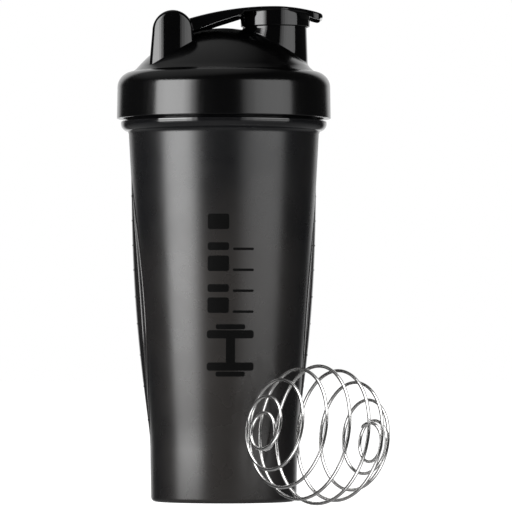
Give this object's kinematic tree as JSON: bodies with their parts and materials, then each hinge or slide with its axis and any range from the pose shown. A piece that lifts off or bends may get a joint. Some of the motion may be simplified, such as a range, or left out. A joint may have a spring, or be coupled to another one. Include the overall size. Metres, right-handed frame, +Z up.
{
  "type": "shaker bottle",
  "caption": "Tapered mixing cup with a screw lid, a flip cap hinged over its drinking spout and a loose spherical wire whisk ball.",
  "frame": {"origin": "centre of the cup's foot, on the plane that it stands on", "axes": "+Z up along the cup's axis, +X from the flip cap's hinge to the spout, -Y the printed front"},
  "size_m": [0.1207, 0.1304, 0.2207],
  "materials": {
    "smoke_plastic": "satin",
    "print": "matte",
    "seal": "matte",
    "black_plastic": "gloss",
    "steel": "polished"
  },
  "bodies": {
    "cup": {"cup_shell": "smoke_plastic", "cup_thread": "smoke_plastic", "grip_panel_left": "smoke_plastic", "grip_panel_right": "smoke_plastic", "volume_marks": "smoke_plastic", "front_mark": "print"},
    "gasket": {"lid_gasket": "seal"},
    "lid": {"lid_shell": "black_plastic", "lid_thread": "black_plastic"},
    "flip_cap": {"flip_cap": "black_plastic", "cap_seal": "seal", "hinge_pin": "steel"},
    "ball": {"mixing_ball": "steel"}
  },
  "joints": [
    {"name": "lid_rise", "type": "slide", "parent": "cup", "child": "gasket", "axis": [0, 0, 1], "range_m": [0, 0.0225]},
    {"name": "lid_turn", "type": "hinge", "parent": "gasket", "child": "lid", "pos_m": [0, 0, 0.186], "axis": [0, 0, 1], "range_deg": [0, 1260]},
    {"name": "cap_flip", "type": "hinge", "parent": "lid", "child": "flip_cap", "pos_m": [-0.0225, 0, 0.21], "axis": [0, -1, 0], "range_deg": [0, 150]},
    {"name": "ball_away", "type": "slide", "parent": "cup", "child": "ball", "axis": [0.627, -0.779, 0], "range_m": [0, 0.12]}
  ],
  "couplings": [
    {"joint": "lid_rise", "follows": "lid_turn", "m_per_rad": 0.0010186}
  ]
}
